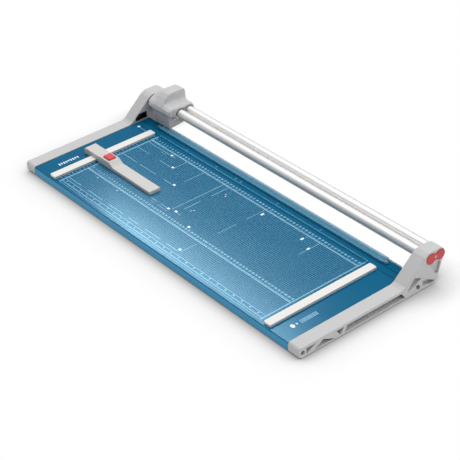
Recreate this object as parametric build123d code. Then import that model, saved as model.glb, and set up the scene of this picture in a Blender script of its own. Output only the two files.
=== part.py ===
from build123d import *
import math
import os

# Rotary paper trimmer: a flat table between two end frames, two guide tubes
# across the back, and a cutter head that runs along them.
# Millimetres.  X runs along the tubes (left to right), Y to the rear, Z up.
# Everything is drawn with Y = 0 at the table's front edge and is moved by
# Y_SHIFT when it is written, so the origin is under the middle of the object.
# Cutting shapes overrun the faces they break through, mostly by 1 mm.

os.makedirs("parts", exist_ok=True)

# ---------------------------------------------------------------- shared dimensions
Y_SHIFT = -194.0
SIDES = (-1, 1)               # left, right

# table
TABLE_HALF = 436.0            # half length of the table board
TABLE_DEPTH = 325.8           # front edge to the rear flange's back face
TABLE_TOP = 23.5
TABLE_BOTTOM = 3.8
SKIN_UNDERSIDE = TABLE_TOP - 2.5
CHANNELS = [(8.0, 13.5), (160.0, 12.0), (313.0, 12.5)]   # frame screw channels, (y, z)

# end frames (the right-hand one is drawn, the left is its mirror image)
FRAME_IN = 437.0              # inner face
FRAME_OUT = 470.0             # outer face
FRAME_BOTTOM = 2.0
SCREW_SEAT = FRAME_IN + 8     # floor of the frame screws' counterbores
FOOT_X = (FRAME_IN + FRAME_OUT) / 2
FOOT_Y = (22.0, 345.0)
FOOT_PLUG_R = 6.0

# guide tubes
TUBE_Z = 65.0
TUBE_Y = (347.3, 372.8)       # front, rear
TUBE_MID = (TUBE_Y[0] + TUBE_Y[1]) / 2
TUBE_R = 11.0
TUBE_BORE = 9.0
TUBE_HALF = 467.5

# two-lobed end caps
CAP_R = 12.5
CAP_WAIST = 8.0               # half height between the lobes
CAP_GAP = 0.15                # gap between the cap and its recess

# counter-blade
CUT_Y = 329.8                 # back face
LOWER_HALF = 408.0
LOWER_BOTTOM = 9.0
RELIEF = 0.6                  # depth ground off below the cutting edge
RELIEF_FACE = CUT_Y - RELIEF
BLADE_SCREW_X = [130 * k for k in range(-3, 4)]
BLADE_SCREW_Z = 16.0
BLADE_SCREW_HOLE_R = 2.05

# scale bars
BAR_W = 20.0
BAR_X = 370.0                 # bar centre line, left and right
BAR_Y0, BAR_Y1 = 5.0, 287.0
BAR_TOP = TABLE_TOP + 6.0
BAR_SLOT = (25.3, 27.3)       # side groove, z range
BAR_SLOT_D = 1.2
BAR_SCREW_Y = (40.0, 262.0)
BAR_SCREWS = [(side * BAR_X, y) for side in SIDES for y in BAR_SCREW_Y]

# clamp strip and the clips on its ends
STRIP_HALF = 372.0
STRIP_Y0, STRIP_Y1 = 309.0, 328.5
STRIP_Z0, STRIP_Z1 = 25.7, 28.2
LIP_T = 1.0                   # clip lip, and depth of its rebate
CLIP_Y0, CLIP_Y1 = 309.5, 317.5
CLIP_END = STRIP_HALF + 12.0
CLAMP_X = STRIP_HALF + 7.5    # clamp guide screws
CLAMP_Y = (CLIP_Y0 + CLIP_Y1) / 2


# ------------------------------------------------------------------- helpers
# The two ends of a box or cylinder along an axis may come in either order.
def box(x0, x1, y0, y1, z0, z1):
    middle = Pos((x0 + x1) / 2, (y0 + y1) / 2, (z0 + z1) / 2)
    return middle * Box(abs(x1 - x0), abs(y1 - y0), abs(z1 - z0))


def cyl_x(radius, x0, x1, y, z):
    return Pos((x0 + x1) / 2, y, z) * Rot(0, 90, 0) * Cylinder(radius, abs(x1 - x0))


def cyl_y(radius, y0, y1, x, z):
    return Pos(x, (y0 + y1) / 2, z) * Rot(90, 0, 0) * Cylinder(radius, abs(y1 - y0))


def cyl_z(radius, z0, z1, x, y):
    return Pos(x, y, (z0 + z1) / 2) * Cylinder(radius, abs(z1 - z0))


def polygon(points):
    return make_face(Polyline(*points, close=True))


def rounded_polygon(corners):
    """Face from (u, v, radius) corners; radius 0 leaves a corner sharp."""
    face = polygon([(u, v) for u, v, _ in corners])
    for u, v, radius in corners:
        if radius:
            corner = [p for p in face.vertices() if abs(p.X - u) < 0.01 and abs(p.Y - v) < 0.01]
            face = fillet(corner, radius)
    return face


def extrude_x(face, x0, x1):
    """A face drawn in (y, z), extruded from x0 to x1."""
    return extrude(Plane.YZ.offset(x0) * face, x1 - x0)


def prism_x(points, x0, x1):
    return extrude_x(polygon(points), x0, x1)


def edges_at(edges, axis, *places):
    """The edges whose centre lies at one of the places along axis "X", "Y" or "Z"."""
    return [e for e in edges if any(abs(getattr(e.center(), axis) - p) < 0.01 for p in places)]


def edges_above(edges, z):
    return [e for e in edges if e.center().Z > z]


def coil(x, y, z0, z1, radius, wire, turns):
    """Compression spring along Z; wire is the wire's radius."""
    height = z1 - z0 - 2 * wire
    path = Pos(x, y, z0 + wire) * Helix(height / turns, height, radius)
    return sweep(Plane(path @ 0, z_dir=path % 0) * Circle(wire), path=path)


def mirrored(solid):
    return mirror(solid, about=Plane.YZ)


def two_lobes(radius, waist, x0, x1):
    """Cylinders on both tube axes joined by a bar of half height waist."""
    shape = cyl_x(radius, x0, x1, TUBE_Y[0], TUBE_Z) + cyl_x(radius, x0, x1, TUBE_Y[1], TUBE_Z)
    shape += box(x0, x1, TUBE_Y[0], TUBE_Y[1], TUBE_Z - waist, TUBE_Z + waist)
    return shape


def save(name, *shapes):
    solids = [Pos(0, Y_SHIFT, 0) * solid for shape in shapes for solid in shape.solids()]
    piece = solids[0] if len(solids) == 1 else Compound(children=solids)
    piece.label = name
    export_step(piece, "parts/" + name + ".step")


# --------------------------------------------------------------- table board
# Bars rising from the bottom of the board: (y0, y1, top)
FLANGE_TOP = TABLE_BOTTOM + 2
TABLE_RIBS = [
    (0, 2.5, TABLE_TOP), (TABLE_DEPTH - 3.0, TABLE_DEPTH, TABLE_TOP),
    (0, 9, FLANGE_TOP), (TABLE_DEPTH - 12, TABLE_DEPTH, FLANGE_TOP),
    (84, 86, TABLE_TOP - 1), (79, 91, FLANGE_TOP),
    (236, 238, TABLE_TOP - 1), (231, 243, FLANGE_TOP),
]
# Lengthwise grooves: (y0, y1, z0, z1)
TABLE_GROOVES = [
    (-1, 0.7, 20.9, 21.6),                                # front face, below the nose
    (287.3, 289.4, TABLE_TOP - 1.2, TABLE_TOP + 1),       # top, towards the rear
    (303.8, 307.2, TABLE_TOP - 1.5, TABLE_TOP + 1),
]


def table_board():
    end = TABLE_HALF
    board = box(-end, end, 0, TABLE_DEPTH, SKIN_UNDERSIDE, TABLE_TOP)
    for y0, y1, top in TABLE_RIBS:
        board += box(-end, end, y0, y1, TABLE_BOTTOM, top)
    for y, z in CHANNELS:
        board += box(-end, end, y - 1.5, y + 1.5, z, TABLE_TOP - 1)
        board += cyl_x(5.0, -end, end, y, z)
    # web from the front wall to the front channel
    board += box(-end, end, 1, 8, 12.5, 14.5)
    for y, z in CHANNELS:
        board -= cyl_x(2.25, -end - 1, end + 1, y, z)
    # rounded front nose
    front_edges = edges_at(board.edges().filter_by(Axis.X), "Y", 0)
    board = fillet(edges_at(front_edges, "Z", TABLE_TOP), 1.2)
    for groove in TABLE_GROOVES:
        board -= box(-end - 1, end + 1, *groove)
    # holes for the scale-bar, clamp and counter-blade screws
    for x, y in BAR_SCREWS:
        board -= cyl_z(1.7, TABLE_TOP - 4, TABLE_TOP + 1, x, y)
    for side in SIDES:
        board -= cyl_z(1.52, 16.0, TABLE_TOP + 1, side * CLAMP_X, CLAMP_Y)
    for x in BLADE_SCREW_X:
        board -= cyl_y(BLADE_SCREW_HOLE_R, TABLE_DEPTH - 5, TABLE_DEPTH + 1, x, BLADE_SCREW_Z)
    return board


save("table_board", table_board())

# ---------------------------------------------------------------- end frames
RAIL_TOP = 25.5
TOWER_TOP = 80.5
# Side outline, low rail and round-topped tower: (y, z, corner radius)
FRAME_OUTLINE = [
    (-1, 6, 3), (-1, 21.5, 3), (3, RAIL_TOP, 4), (268, RAIL_TOP, 9),
    (277, 29.0, 14), (330, 75.5, 10), (341, TOWER_TOP, 10), (371, TOWER_TOP, 9),
    (381.5, 76.5, 6), (386.5, 69, 5), (386.5, 62, 5), (378.5, 43.5, 8),
    (369.5, 19, 4), (369.5, 12, 3), (361, FRAME_BOTTOM, 0), (4, FRAME_BOTTOM, 0),
]
# Truss pockets in the outer face: (depth, [(y, z), ...])
TRUSS_POCKETS = [
    (12, [(17, 19.5), (43, 19.5), (17, 6)]),
    (12, [(37, 5.5), (60, 18.5), (89, 5.5)]),
    (12, [(94, 19.5), (114, 19.5), (104.5, 5.5)]),
    (14, [(122, 19.5), (268, 19.5), (277, 5.5), (115, 5.5)]),
    (8, [(283.5, 15.5), (301, 41.0), (322, 31.5), (306, 21.5)]),
    (20, [(306, 18.0), (313.5, 20.0), (319.0, 11.5), (316.5, 6.5)]),
    (8, [(324.5, 23.0), (335, 22.0), (360, 8.5), (348, 5.0), (325.5, 10.5)]),
    (5, [(344, 50.5), (372, 50.5), (374.5, 44), (368, 22.5), (361, 22.5)]),
]
# Recess in the tower's inner face: (y, z)
TOWER_RECESS = [(287, 28.0), (306, 43.5), (315, 43.5), (319, 28.0)]


def end_frame():
    frame = extrude_x(rounded_polygon(FRAME_OUTLINE), FRAME_IN, FRAME_OUT)
    frame = fillet(edges_above(edges_at(frame.edges(), "X", FRAME_OUT), 5.5), 2.0)
    frame = fillet(edges_above(edges_at(frame.edges(), "X", FRAME_IN), 20), 1.6)
    for depth, points in TRUSS_POCKETS:
        frame -= prism_x(points, FRAME_OUT - depth, FRAME_OUT + 2)
    # hollows open below
    for y0, y1 in ((18, 150), (170, 300)):
        frame -= box(FRAME_IN + 4, FRAME_OUT - 16, y0, y1, 0, 21.5)
    frame -= prism_x(TOWER_RECESS, FRAME_IN - 1, FRAME_IN + 19)
    # tube sockets
    for y in TUBE_Y:
        frame -= cyl_x(TUBE_R + 0.03, FRAME_IN - 1, FRAME_OUT + 1, y, TUBE_Z)
    # end cap recess and screw hole
    frame -= two_lobes(CAP_R + CAP_GAP, CAP_WAIST + CAP_GAP, FRAME_OUT - 2, FRAME_OUT + 2)
    frame -= cyl_x(1.8, FRAME_OUT - 18, FRAME_OUT, TUBE_MID, TUBE_Z)
    # clearance holes and counterbores for the screws into the table
    for y, z in CHANNELS:
        frame -= cyl_x(2.6, FRAME_IN - 1, FRAME_OUT + 1, y, z)
        frame -= cyl_x(5.0, SCREW_SEAT, FRAME_OUT + 1, y, z)
    # foot sockets
    for y in FOOT_Y:
        frame -= cyl_z(FOOT_PLUG_R + 0.05, 0, FRAME_BOTTOM + 2, FOOT_X, y)
    return frame


def frame_screw(y, z):
    """Round-headed screw with a round recess, right-hand side."""
    screw = cyl_x(4.5, SCREW_SEAT, SCREW_SEAT + 3.5, y, z)
    screw += cyl_x(2.2, FRAME_IN - 22, SCREW_SEAT, y, z)
    screw -= cyl_x(1.8, SCREW_SEAT + 1.5, SCREW_SEAT + 5, y, z)
    return screw


def rubber_foot(x, y):
    """Disc with a chamfered tread and a plug that fits the frame's socket."""
    foot = cyl_z(FOOT_PLUG_R, 1.5, FRAME_BOTTOM + 2, x, y) + cyl_z(7.5, 0, FRAME_BOTTOM, x, y)
    return chamfer(edges_at(foot.edges(), "Z", 0), 0.6)


right_frame = end_frame()
save("right_end_frame", right_frame)
save("left_end_frame", mirrored(right_frame))
right_screws = [frame_screw(y, z) for y, z in CHANNELS]
save("frame_screws", *[s for screw in right_screws for s in (screw, mirrored(screw))])
save("rubber_feet", *[rubber_foot(side * FOOT_X, y) for side in (1, -1) for y in FOOT_Y])


# --------------------------------------------------- guide tubes and end caps
def guide_tube(y):
    tube = cyl_x(TUBE_R, -TUBE_HALF, TUBE_HALF, y, TUBE_Z)
    return tube - cyl_x(TUBE_BORE, -TUBE_HALF - 1, TUBE_HALF + 1, y, TUBE_Z)


def end_cap():
    """Two-lobed plate with a hollow spigot into each tube, right-hand side."""
    face, spigot_root = FRAME_OUT + 1.5, FRAME_OUT - 1.9
    cap = two_lobes(CAP_R, CAP_WAIST, FRAME_OUT - 1.95, face)
    cap = fillet(edges_at(cap.edges(), "X", face), 0.8)
    for y in TUBE_Y:
        spigot = cyl_x(8.9, FRAME_OUT - 12, spigot_root, y, TUBE_Z)
        cap += spigot - cyl_x(6.9, FRAME_OUT - 13, spigot_root, y, TUBE_Z)
    cap -= cyl_x(1.9, FRAME_OUT - 5, FRAME_OUT + 3, TUBE_MID, TUBE_Z)
    cap -= cyl_x(3.3, FRAME_OUT - 0.2, FRAME_OUT + 3, TUBE_MID, TUBE_Z)
    return cap


def end_cap_screw():
    """Cross-slotted screw between the tubes, right-hand side."""
    screw = cyl_x(3.1, FRAME_OUT - 0.2, FRAME_OUT + 1.2, TUBE_MID, TUBE_Z)
    screw += cyl_x(1.75, FRAME_OUT - 16, FRAME_OUT, TUBE_MID, TUBE_Z)
    for half_y, half_z in ((0.4, 2.2), (2.2, 0.4)):
        screw -= box(FRAME_OUT + 0.5, FRAME_OUT + 2, TUBE_MID - half_y, TUBE_MID + half_y,
                     TUBE_Z - half_z, TUBE_Z + half_z)
    return screw


save("front_guide_tube", guide_tube(TUBE_Y[0]))
save("rear_guide_tube", guide_tube(TUBE_Y[1]))
right_cap = end_cap()
save("right_end_cap", right_cap)
save("left_end_cap", mirrored(right_cap))
right_cap_screw = end_cap_screw()
save("end_cap_screws", right_cap_screw, mirrored(right_cap_screw))


# ------------------------------------------------------------- lower blade
def lower_blade():
    """Counter-blade on the table's rear flange, with countersunk holes."""
    blade = box(-LOWER_HALF, LOWER_HALF, TABLE_DEPTH, CUT_Y, LOWER_BOTTOM, TABLE_TOP)
    # ground relief below the cutting edge
    relief = [(CUT_Y + 1, LOWER_BOTTOM), (CUT_Y + 1, 19.5),
              (RELIEF_FACE, 19.0), (RELIEF_FACE, LOWER_BOTTOM)]
    blade -= prism_x(relief, -LOWER_HALF - 1, LOWER_HALF + 1)
    for x in BLADE_SCREW_X:
        blade -= cyl_y(BLADE_SCREW_HOLE_R, TABLE_DEPTH - 1, CUT_Y + 1, x, BLADE_SCREW_Z)
        countersink = Cone(4.1, BLADE_SCREW_HOLE_R, 2.0)
        blade -= Pos(x, RELIEF_FACE - 1.0, BLADE_SCREW_Z) * Rot(90, 0, 0) * countersink
    return blade


def lower_blade_screw(x):
    screw = cyl_y(2.0, TABLE_DEPTH - 7, CUT_Y - 1.0, x, BLADE_SCREW_Z)
    screw += Pos(x, RELIEF_FACE - 1.05, BLADE_SCREW_Z) * Rot(90, 0, 0) * Cone(3.85, 1.9, 1.9)
    screw -= cyl_y(1.3, CUT_Y - 1.7, CUT_Y, x, BLADE_SCREW_Z)
    return screw


save("lower_blade", lower_blade())
save("lower_blade_screws", *[lower_blade_screw(x) for x in BLADE_SCREW_X])


# -------------------------------------------------------------- scale bars
def scale_bar(bar_x):
    x0, x1 = bar_x - BAR_W / 2, bar_x + BAR_W / 2
    outline = polygon([(x0, BAR_Y0), (x1, BAR_Y0), (x1, BAR_Y1), (x0, BAR_Y1)])
    outline = fillet(outline.vertices(), 3.0)
    bar = extrude(Plane.XY.offset(TABLE_TOP) * outline, BAR_TOP - TABLE_TOP)
    bar = fillet(edges_at(bar.edges(), "Z", BAR_TOP), 0.8)
    # side grooves
    for side in SIDES:
        edge_x = bar_x + side * BAR_W / 2
        bar -= box(edge_x - side * BAR_SLOT_D, edge_x + side * 0.5,
                   BAR_Y0 - 1, BAR_Y1 + 1, *BAR_SLOT)
    for y in BAR_SCREW_Y:
        bar -= cyl_z(1.62, TABLE_TOP - 1, TABLE_TOP + 4.5, bar_x, y)
    return bar


def scale_bar_screw(x, y):
    """Screw from below, with its head under the table skin."""
    shank = cyl_z(1.6, SKIN_UNDERSIDE - 0.1, TABLE_TOP + 4.2, x, y)
    return shank + cyl_z(3.2, SKIN_UNDERSIDE - 1.8, SKIN_UNDERSIDE, x, y)


save("left_scale_bar", scale_bar(-BAR_X))
save("right_scale_bar", scale_bar(BAR_X))
save("scale_bar_screws", *[scale_bar_screw(x, y) for x, y in BAR_SCREWS])


# ------------------------------------------------------------- clamp strip
def clamp_strip():
    strip = box(-STRIP_HALF, STRIP_HALF, STRIP_Y0, STRIP_Y1, STRIP_Z0, STRIP_Z1)
    strip = chamfer(edges_above(strip.edges().filter_by(Axis.X), STRIP_Z1 - 0.1), 0.6)
    # a rebate under each end takes the clip's lip, flush with the underside
    for side in SIDES:
        strip -= box(side * (STRIP_HALF - 6.1), side * (STRIP_HALF + 1),
                     STRIP_Y0 - 1, STRIP_Y1 + 1, STRIP_Z0 - 1, STRIP_Z0 + LIP_T)
    return strip


def clamp_clip():
    """Tongue, lip and end wall on the strip's right-hand end."""
    lip_y1, wall_x = 327.5, STRIP_HALF + 1.2
    clip = box(STRIP_HALF, CLIP_END, CLIP_Y0, CLIP_Y1, 27.0, STRIP_Z1)
    clip += box(STRIP_HALF - 6, wall_x, CLIP_Y0, lip_y1, STRIP_Z0, STRIP_Z0 + LIP_T)
    clip += box(STRIP_HALF, wall_x, CLIP_Y0, lip_y1, STRIP_Z0, STRIP_Z1)
    clip = fillet(edges_at(clip.edges().filter_by(Axis.Z), "X", CLIP_END), 3.5)
    clip -= cyl_z(1.75, 20, 40, CLAMP_X, CLAMP_Y)
    return clip


def clamp_guide_screw(x):
    screw = cyl_z(1.5, 16.3, 28.4, x, CLAMP_Y) + cyl_z(3.0, 28.3, 29.9, x, CLAMP_Y)
    screw -= box(x - 2.3, x + 2.3, CLAMP_Y - 0.4, CLAMP_Y + 0.4, 29.2, 31)
    return screw


def clamp_spring(x):
    return coil(x, CLAMP_Y, TABLE_TOP + 0.05, 26.95, radius=2.6, wire=0.35, turns=2.5)


save("clamp_strip", clamp_strip())
right_clip = clamp_clip()
save("clamp_end_clips", right_clip, mirrored(right_clip))
save("clamp_guide_screws", *[clamp_guide_screw(side * CLAMP_X) for side in SIDES])
save("clamp_springs", *[clamp_spring(side * CLAMP_X) for side in SIDES])

# ------------------------------------------- cutter head, at its left-hand rest
HEAD_L, HEAD_R = -433.0, -339.0
HEAD_REAR = 389.0
HEAD_WALL = 2.0
SHOULDER_TOP = 82.0
HUMP_L, HUMP_R = -402.5, -370.5
HUMP_TOP = 105.0
HUMP_REAR = HEAD_REAR - 0.5
FLARE = 14.0                  # width of the hump's flared foot
HEAD_SCREW_Z = 76.5

CAR_L, CAR_R = HEAD_L + HEAD_WALL + 0.5, HEAD_R - HEAD_WALL - 0.5   # carriage
RING_R = 14.0                 # carriage rings around the tubes
BUSH_OUT = 12.2
BUSH_IN = TUBE_R + 0.05
BUSH_LEN = 14.0
PILOT_R = 1.22                # pilot holes for the carriage's screws

GUARD_L, GUARD_R = -405.0, -350.0
GUARD_BOTTOM, GUARD_TOP = 29.5, 61.0
CHEEK_T = 2.5
GUARD_SCREW = (336.2, 50.0)   # (y, z)

BLADE_X, BLADE_Z = -378.0, 44.0
BLADE_R = 22.5
BLADE_Y = CUT_Y + 0.05        # front face
BLADE_BACK = BLADE_Y + 1.5
HUB_R = 6.0
HUB_FRONT = 326.2
AXLE_R = 4.0

ROLLER_R = 4.0
ROLLER_X = [BLADE_X + side * 12.0 for side in SIDES]
ROLLER_Z = STRIP_Z1 + ROLLER_R + 0.05

# Cover profiles: (y, z, corner radius)
SHOULDER_PROFILE = [
    (317, 65, 2), (317, 71, 5), (326, 80, 10), (340, SHOULDER_TOP, 10), (380, SHOULDER_TOP, 7),
    (HEAD_REAR, 74, 7), (HEAD_REAR, 44, 4), (383, 38, 0), (345, 38, 0), (345, 62, 0), (321, 62, 0),
]
HUMP_PROFILE = [
    (317.2, 68, 0), (319, 84, 12), (330, 99, 14), (344, HUMP_TOP, 14), (378, HUMP_TOP, 9),
    (HUMP_REAR, 96, 0), (HUMP_REAR, 68, 0),
]
# Hollows inside the cover: (y, z)
SHOULDER_HOLLOW = [
    (319.5, 57), (319.5, 70), (327.5, 77.6), (340, 80), (380, 80), (387, 73.5), (387, 37), (320, 37),
]
HUMP_HOLLOW = [(322, 66), (323, 83), (332, 96), (345, 102), (377, 102), (386, 94), (386, 66)]
# Guard sections: (y, z)
APRON = [(318.2, GUARD_TOP), (320.6, GUARD_TOP), (323.0, GUARD_BOTTOM), (320.6, GUARD_BOTTOM)]
CHEEK = [
    (318.5, GUARD_TOP), (331.0, GUARD_TOP - 2.5), (334.5, 50.0), (366.0, 50.0),
    (366.0, 35.5), (362.0, 33.0), (340.0, GUARD_BOTTOM + 1.0), (321, GUARD_BOTTOM),
]


def head_cover():
    """Shoulders around both tubes and a hump that is the hand grip, open below."""
    cover = extrude_x(rounded_polygon(SHOULDER_PROFILE), HEAD_L, HEAD_R)
    hump = extrude_x(rounded_polygon(HUMP_PROFILE), HUMP_L, HUMP_R)
    hump = fillet(edges_above(edges_at(hump.edges(), "X", HUMP_L, HUMP_R), 69), 3.0)
    cover += hump
    # flared foot on both sides of the hump
    for side, hump_x in zip(SIDES, (HUMP_L, HUMP_R)):
        outer_x = hump_x + side * FLARE
        foot = box(hump_x, outer_x, 326, 384, SHOULDER_TOP - 4, SHOULDER_TOP + 12)
        foot -= cyl_y(13.0, 320, 390, outer_x, SHOULDER_TOP + 13.0)
        cover += foot
    hollow = prism_x(SHOULDER_HOLLOW, HEAD_L + HEAD_WALL, HEAD_R - HEAD_WALL)
    hollow += prism_x(HUMP_HOLLOW, HUMP_L + 2.5, HUMP_R - 2.5)
    cover -= hollow
    for y in TUBE_Y:
        cover -= cyl_x(13.2, HEAD_L - 1, HEAD_R + 1, y, TUBE_Z)
    # screw holes in both end walls
    for side, x in zip(SIDES, (HEAD_L, HEAD_R)):
        cover -= cyl_x(1.5, x + side, x - side * 3, TUBE_MID, HEAD_SCREW_Z)
    return cover


def head_carriage():
    """Rings around the tubes with a plate below that carries the blade axle."""
    carriage = cyl_x(RING_R, CAR_L, CAR_R, TUBE_Y[0], TUBE_Z)
    carriage += cyl_x(RING_R, CAR_L, CAR_R, TUBE_Y[1], TUBE_Z)
    carriage += box(CAR_L, CAR_R, TUBE_Y[0], TUBE_Y[1], 52.5, 78.0)
    plate_x, plate_y = (GUARD_L + 3.0, GUARD_R - 3.0), 333.4
    carriage += box(*plate_x, plate_y, 339.0, 30.5, 60.0)
    carriage += box(*plate_x, plate_y, 347.0, 50.2, 56.0)
    carriage += cyl_y(7.7, plate_y, 345.0, BLADE_X, BLADE_Z)
    for y in TUBE_Y:
        carriage -= cyl_x(BUSH_OUT + 0.02, CAR_L - 1, CAR_R + 1, y, TUBE_Z)
    carriage -= cyl_y(AXLE_R + 0.02, 330, 350, BLADE_X, BLADE_Z)
    for side, x in zip(SIDES, (CAR_L, CAR_R)):
        carriage -= cyl_x(PILOT_R, x + side, x - side * 12, TUBE_MID, HEAD_SCREW_Z)
    for side, x in zip(SIDES, (GUARD_L, GUARD_R)):
        carriage -= cyl_x(PILOT_R, x, x - side * 14, *GUARD_SCREW)
    return carriage


def tube_bush(x0, y):
    bush = cyl_x(BUSH_OUT, x0, x0 + BUSH_LEN, y, TUBE_Z)
    return bush - cyl_x(BUSH_IN, x0 - 1, x0 + BUSH_LEN + 1, y, TUBE_Z)


def head_screw(side, x):
    """Slotted screw through the cover's end wall at x."""
    screw = cyl_x(2.6, x, x + side * 1.4, TUBE_MID, HEAD_SCREW_Z)
    screw += cyl_x(1.2, x, x - side * 11.0, TUBE_MID, HEAD_SCREW_Z)
    screw -= box(x + side * 0.8, x + side * 2, TUBE_MID - 1.9, TUBE_MID + 1.9,
                 HEAD_SCREW_Z - 0.3, HEAD_SCREW_Z + 0.3)
    return screw


def front_guard():
    """Apron in front of the blade with two side cheeks and two roller bosses."""
    guard = prism_x(APRON, GUARD_L, GUARD_R)
    for x in (GUARD_L, GUARD_R - CHEEK_T):
        guard += prism_x(CHEEK, x, x + CHEEK_T)
    for x in ROLLER_X:
        guard += cyl_y(3.0, 320.5, 323.0, x, ROLLER_Z)
        guard -= cyl_y(1.52, 320.9, 325, x, ROLLER_Z)
    for side, x in zip(SIDES, (GUARD_L, GUARD_R)):
        guard -= cyl_x(1.5, x + side, x - side * 4, *GUARD_SCREW)
    return guard


def guard_screw(side, x):
    head = cyl_x(2.5, x, x + side * 1.3, *GUARD_SCREW)
    return head + cyl_x(1.2, x, x - side * 11.0, *GUARD_SCREW)


def cutter_blade():
    """Disc bevelled on its rear face, with a hub bore and three small holes."""
    blade = cyl_y(BLADE_R, BLADE_Y, BLADE_BACK, BLADE_X, BLADE_Z)
    blade = chamfer(edges_at(blade.edges(), "Y", BLADE_BACK), 1.35)
    blade -= cyl_y(HUB_R + 0.03, BLADE_Y - 1, BLADE_BACK + 1, BLADE_X, BLADE_Z)
    for k in range(3):
        angle = math.radians(90 + 120 * k)
        blade -= cyl_y(1.05, BLADE_Y - 1, BLADE_BACK + 1,
                       BLADE_X + 9.5 * math.cos(angle), BLADE_Z + 9.5 * math.sin(angle))
    return blade


def blade_hub():
    hub = cyl_y(7.5, HUB_FRONT, BLADE_Y - 0.01, BLADE_X, BLADE_Z)
    hub += cyl_y(HUB_R, HUB_FRONT, BLADE_BACK, BLADE_X, BLADE_Z)
    hub -= cyl_y(AXLE_R + 0.05, 320, 340, BLADE_X, BLADE_Z)
    return hub


def blade_axle():
    """Pin with a slotted head at the front."""
    axle = cyl_y(AXLE_R, 325.6, 346.0, BLADE_X, BLADE_Z)
    axle += cyl_y(6.2, 324.2, 326.0, BLADE_X, BLADE_Z)
    axle -= box(BLADE_X - 3.5, BLADE_X + 3.5, 323, 325.0, BLADE_Z - 0.5, BLADE_Z + 0.5)
    return axle


def blade_spring():
    """Dished spring washer behind the blade."""
    dish = Cone(8.0, 5.4, 1.6) - Cone(7.5, 4.9, 1.6)
    washer = Pos(BLADE_X, 332.45, BLADE_Z) * Rot(90, 0, 0) * dish
    washer -= cyl_y(4.3, 330, 335, BLADE_X, BLADE_Z)
    return washer


def press_roller(x):
    roller = cyl_y(ROLLER_R, 323.2, 327.8, x, ROLLER_Z)
    rims = [e for e in roller.edges() if abs(e.length - 2 * math.pi * ROLLER_R) < 0.1]
    roller = fillet(rims, 0.5)
    roller -= cyl_y(1.55, 320, 330, x, ROLLER_Z)
    return roller


def roller_axle(x):
    """Stud in the guard's boss, headed at the rear."""
    return cyl_y(1.5, 320.95, 328.2, x, ROLLER_Z) + cyl_y(2.3, 327.9, 328.5, x, ROLLER_Z)


save("head_cover", head_cover())
save("head_carriage", head_carriage())
for name, tube_y in zip(("front_tube_bushes", "rear_tube_bushes"), TUBE_Y):
    save(name, *[tube_bush(x0, tube_y) for x0 in (CAR_L, CAR_R - BUSH_LEN)])
save("head_screws", head_screw(-1, HEAD_L), head_screw(1, HEAD_R))
save("head_front_guard", front_guard())
save("guard_screws", guard_screw(-1, GUARD_L), guard_screw(1, GUARD_R))
save("cutter_blade", cutter_blade())
save("blade_hub", blade_hub())
save("blade_axle", blade_axle())
save("blade_spring", blade_spring())
save("left_press_roller", press_roller(ROLLER_X[0]))
save("right_press_roller", press_roller(ROLLER_X[1]))
save("roller_axles", *[roller_axle(x) for x in ROLLER_X])

# ---------------------------------------------------------------- backstop
STOP_X0, STOP_X1 = -408.0, -158.0
STOP_Y0, STOP_Y1 = 118.5, 148.5
STOP_MID = (STOP_Y0 + STOP_Y1) / 2
CAVITY_X0, CAVITY_X1 = -358.0, -312.0      # room for the button and brake lever
CAVITY_Y0, CAVITY_Y1 = STOP_Y0 + 2.5, STOP_Y1 - 2.5
BUTTON_X0, BUTTON_X1 = -339.0, -315.0
BUTTON_Y0, BUTTON_Y1 = STOP_MID - 10, STOP_MID + 10
BUTTON_BOTTOM, BUTTON_TOP = 34.0, 45.0
BUTTON_SPRING_X = -322.0
PIVOT_X, PIVOT_Z = -352.0, 31.0
LEVER_X0, LEVER_Y = -365.5, (130.0, 137.0)
BASE_SCREW_X = CAVITY_X1 - 3
BASE_SCREW_Y = (CAVITY_Y0 + 3.2, CAVITY_Y1 - 3.2)
# Block over the bar, raised collar round the button, thin arm: (x, z, corner radius)
STOP_PROFILE = [
    (STOP_X0, 24.0, 0), (STOP_X0, 36, 3), (STOP_X0 + 5, 40, 3), (-350, 40, 3), (-346, 41.2, 3),
    (-309, 41.2, 2.5), (-305, 38, 2), (-297, 32.5, 5), (STOP_X1, 32.0, 0), (STOP_X1, 24.0, 0),
]


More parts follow.
